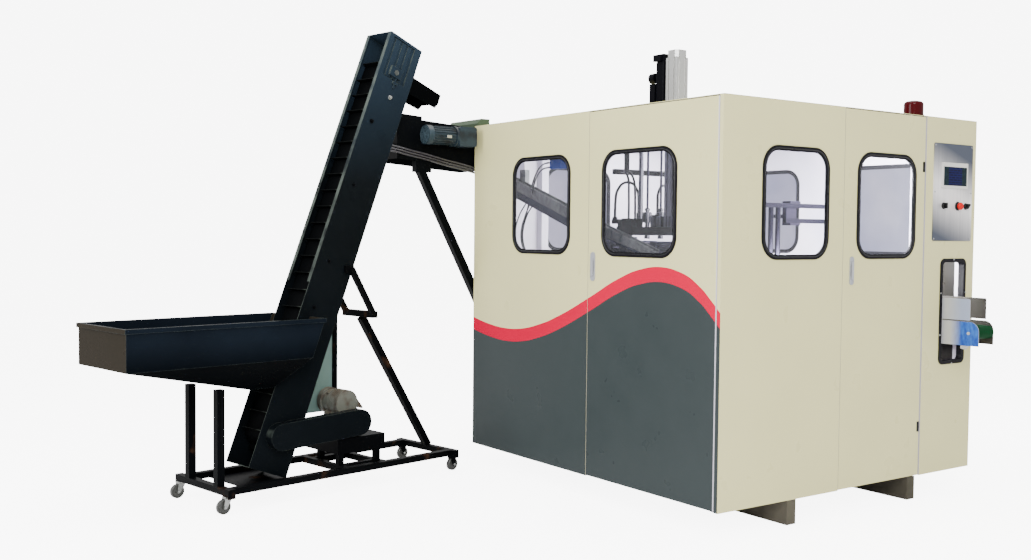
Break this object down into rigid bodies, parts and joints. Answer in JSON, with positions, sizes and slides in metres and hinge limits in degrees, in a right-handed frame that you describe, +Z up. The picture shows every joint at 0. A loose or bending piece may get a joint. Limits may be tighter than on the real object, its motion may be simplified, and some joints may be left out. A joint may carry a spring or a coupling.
{
  "type": "blow moulding machine",
  "caption": "Stretch blow moulding machine: windowed cabinet with side wave livery, overhead stretch column, roller preform feeder and a wheeled hopper elevator.",
  "frame": {"origin": "middle of the overall box, on the floor", "axes": "+X along the cabinet front to its right, +Y from the front face to the back, +Z up"},
  "size_m": [4.2356, 2.6296, 2.507],
  "materials": {
    "cream": "satin",
    "wave_panels": "satin",
    "frame_grey": "satin",
    "skid_dark": "matte",
    "black_rubber": "matte",
    "clear_pane": "gloss",
    "black_plastic": "satin",
    "operator_plate": "satin",
    "screen": "gloss",
    "red_button": "gloss",
    "red_dome": "gloss",
    "steel": "brushed",
    "green_belt": "matte",
    "mould_alloy": "satin",
    "chrome": "polished",
    "valve_black": "satin",
    "cable_black": "satin",
    "navy_paint": "satin",
    "feeder_navy": "satin",
    "motor_blue": "satin",
    "motor_worn": "matte",
    "belt_dark": "matte",
    "control_pale": "satin",
    "wheel_grey": "satin",
    "column_alloy": "satin"
  },
  "bodies": {
    "machine": {"skid_beams": "skid_dark", "cabinet_frame": "frame_grey", "left_panels": "wave_panels", "front_panels": "cream", "rear_and_roof_panels": "cream", "window_gaskets": "black_rubber", "window_panes": "clear_pane", "hinge_leaves": "black_plastic", "hmi_plate": "operator_plate", "touch_screen": "screen", "control_collars": "black_plastic", "warning_beacon": "red_dome", "outfeed_trim": "black_rubber", "outfeed_plates": "steel", "outfeed_belt": "green_belt", "press_frame": "frame_grey", "chrome_rods": "chrome", "stretch_column": "column_alloy", "stretch_actuator": "valve_black", "valve_stack": "valve_black", "hoses_and_cables": "cable_black", "oven_housing": "frame_grey", "infeed_rails": "feeder_navy", "feeder_frame": "feeder_navy", "feeder_motor": "motor_blue", "lift_trough": "navy_paint", "lift_belt": "belt_dark", "lift_hopper": "navy_paint", "lift_frame": "navy_paint", "lift_motor": "motor_worn", "lift_chute": "navy_paint", "lift_control_box": "control_pale"},
    "left_door": {"left_door": "wave_panels", "left_door_gasket": "black_rubber", "left_door_pane": "clear_pane", "left_door_handle": "black_plastic"},
    "front_door": {"front_door": "cream", "front_door_gasket": "black_rubber", "front_door_pane": "clear_pane", "front_door_handle": "black_plastic"},
    "estop": {"estop_button": "red_button"},
    "selector_left": {"selector_left": "black_plastic"},
    "selector_right": {"selector_right": "black_plastic"},
    "outfeed_roller": {"outfeed_roller": "steel"},
    "stretch_carriage": {"stretch_carriage": "steel"},
    "blow_nozzles": {"blow_nozzles": "chrome"},
    "front_mould": {"front_mould": "mould_alloy"},
    "rear_mould": {"rear_mould": "mould_alloy"},
    "base_mould": {"base_mould": "mould_alloy"},
    "transfer_gripper": {"transfer_gripper": "steel"},
    "feeder_roller_near": {"feeder_roller_near": "steel"},
    "feeder_roller_far": {"feeder_roller_far": "steel"},
    "lift_head_roller": {"lift_head_roller": "steel"},
    "lift_tail_roller": {"lift_tail_roller": "steel"},
    "caster_swivel_1": {"caster_fork_1": "steel"},
    "caster_swivel_2": {"caster_fork_2": "steel"},
    "wheel_1": {"caster_wheel_1": "wheel_grey"},
    "wheel_2": {"caster_wheel_2": "wheel_grey"},
    "wheel_3": {"caster_wheel_3": "wheel_grey"},
    "wheel_4": {"caster_wheel_4": "wheel_grey"}
  },
  "joints": [
    {"name": "left_door_hinge", "type": "hinge", "parent": "machine", "child": "left_door", "pos_m": [0.17578, -1.05379, 1], "axis": [0, 0, 1], "range_deg": [0, 100]},
    {"name": "front_door_hinge", "type": "hinge", "parent": "machine", "child": "front_door", "pos_m": [1.65178, -1.08179, 1], "axis": [0, 0, 1], "range_deg": [0, 105]},
    {"name": "estop_push", "type": "slide", "parent": "machine", "child": "estop", "axis": [0, 1, 0], "range_m": [0, 0.005]},
    {"name": "selector_left_turn", "type": "hinge", "parent": "machine", "child": "selector_left", "pos_m": [1.82178, -1.10379, 1.553], "axis": [0, 1, 0], "range_deg": [-45, 45]},
    {"name": "selector_right_turn", "type": "hinge", "parent": "machine", "child": "selector_right", "pos_m": [2.02278, -1.10379, 1.553], "axis": [0, 1, 0], "range_deg": [-45, 45]},
    {"name": "outfeed_roller_spin", "type": "hinge", "parent": "machine", "child": "outfeed_roller", "pos_m": [1.91978, -1.25879, 0.881], "axis": [1, 0, 0], "continuous": true},
    {"name": "stretch_slide", "type": "slide", "parent": "machine", "child": "stretch_carriage", "axis": [0, 0, -1], "range_m": [0, 0.33]},
    {"name": "nozzle_slide", "type": "slide", "parent": "machine", "child": "blow_nozzles", "axis": [0, 0, -1], "range_m": [0, 0.02]},
    {"name": "front_mould_slide", "type": "slide", "parent": "machine", "child": "front_mould", "axis": [0, 1, 0], "range_m": [0, 0.0597]},
    {"name": "rear_mould_slide", "type": "slide", "parent": "machine", "child": "rear_mould", "axis": [0, -1, 0], "range_m": [0, 0.0597]},
    {"name": "base_mould_lift", "type": "slide", "parent": "machine", "child": "base_mould", "axis": [0, 0, 1], "range_m": [0, 0.027]},
    {"name": "transfer_slide", "type": "slide", "parent": "machine", "child": "transfer_gripper", "axis": [1, 0, 0], "range_m": [0, 0.36]},
    {"name": "feeder_roller_near_spin", "type": "hinge", "parent": "machine", "child": "feeder_roller_near", "pos_m": [-0.35222, 1.09021, 1.999], "axis": [0.9976, 0, -0.0697], "continuous": true},
    {"name": "feeder_roller_far_spin", "type": "hinge", "parent": "machine", "child": "feeder_roller_far", "pos_m": [-0.35222, 1.18221, 1.999], "axis": [0.9976, 0, -0.0697], "continuous": true},
    {"name": "lift_tail_spin", "type": "hinge", "parent": "machine", "child": "lift_tail_roller", "pos_m": [-1.1885, 0.85993, 0.32033], "axis": [-0.1736, 0.9848, 0], "continuous": true},
    {"name": "lift_head_spin", "type": "hinge", "parent": "machine", "child": "lift_head_roller", "pos_m": [-0.43082, 0.99353, 2.27647], "axis": [-0.1736, 0.9848, 0], "continuous": true},
    {"name": "caster_swivel_1_turn", "type": "hinge", "parent": "machine", "child": "caster_swivel_1", "pos_m": [-1.50784, 0.57211, 0.09], "axis": [0, 0, 1], "continuous": true},
    {"name": "caster_swivel_2_turn", "type": "hinge", "parent": "machine", "child": "caster_swivel_2", "pos_m": [-1.58703, 1.02118, 0.09], "axis": [0, 0, 1], "continuous": true},
    {"name": "wheel_1_spin", "type": "hinge", "parent": "caster_swivel_1", "child": "wheel_1", "pos_m": [-1.52951, 0.56829, 0.036], "axis": [-0.1736, 0.9848, 0], "continuous": true},
    {"name": "wheel_2_spin", "type": "hinge", "parent": "caster_swivel_2", "child": "wheel_2", "pos_m": [-1.60869, 1.01736, 0.036], "axis": [-0.1736, 0.9848, 0], "continuous": true},
    {"name": "wheel_3_spin", "type": "hinge", "parent": "machine", "child": "wheel_3", "pos_m": [-0.05427, 0.82841, 0.036], "axis": [-0.1736, 0.9848, 0], "continuous": true},
    {"name": "wheel_4_spin", "type": "hinge", "parent": "machine", "child": "wheel_4", "pos_m": [-0.13345, 1.27748, 0.036], "axis": [-0.1736, 0.9848, 0], "continuous": true}
  ],
  "couplings": [
    {"joint": "rear_mould_slide", "follows": "front_mould_slide", "ratio": 1},
    {"joint": "feeder_roller_far_spin", "follows": "feeder_roller_near_spin", "ratio": -1},
    {"joint": "lift_head_spin", "follows": "lift_tail_spin", "ratio": 1}
  ]
}
